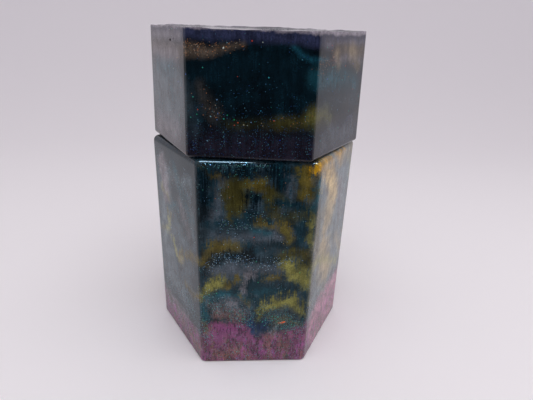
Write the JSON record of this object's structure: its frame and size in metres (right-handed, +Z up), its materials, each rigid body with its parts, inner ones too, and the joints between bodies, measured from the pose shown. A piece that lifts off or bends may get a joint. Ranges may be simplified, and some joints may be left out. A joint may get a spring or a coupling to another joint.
{
  "type": "resin jar",
  "caption": "Hexagonal cast-resin jar with a round hollow inside and a tall hexagonal lift-off lid, in swirled pigments with glitter.",
  "frame": {"origin": "centre of the jar's underside, on the surface that it stands on", "axes": "+Z up along the jar's axis; a flat side of the jar faces -Y; corners of the jar lie on +X and -X"},
  "size_m": [0.0852, 0.0778, 0.132],
  "materials": {
    "jar_resin": "glossy cast epoxy resin, teal, ochre and grey pigment swirls over magenta, fine glitter",
    "lid_resin": "glossy cast epoxy resin, very dark teal over dark violet, an indigo and bronze band near the top, fine glitter"
  },
  "bodies": {
    "root": {"jar": "jar_resin", "lid": "lid_resin"}
  },
  "joints": []
}
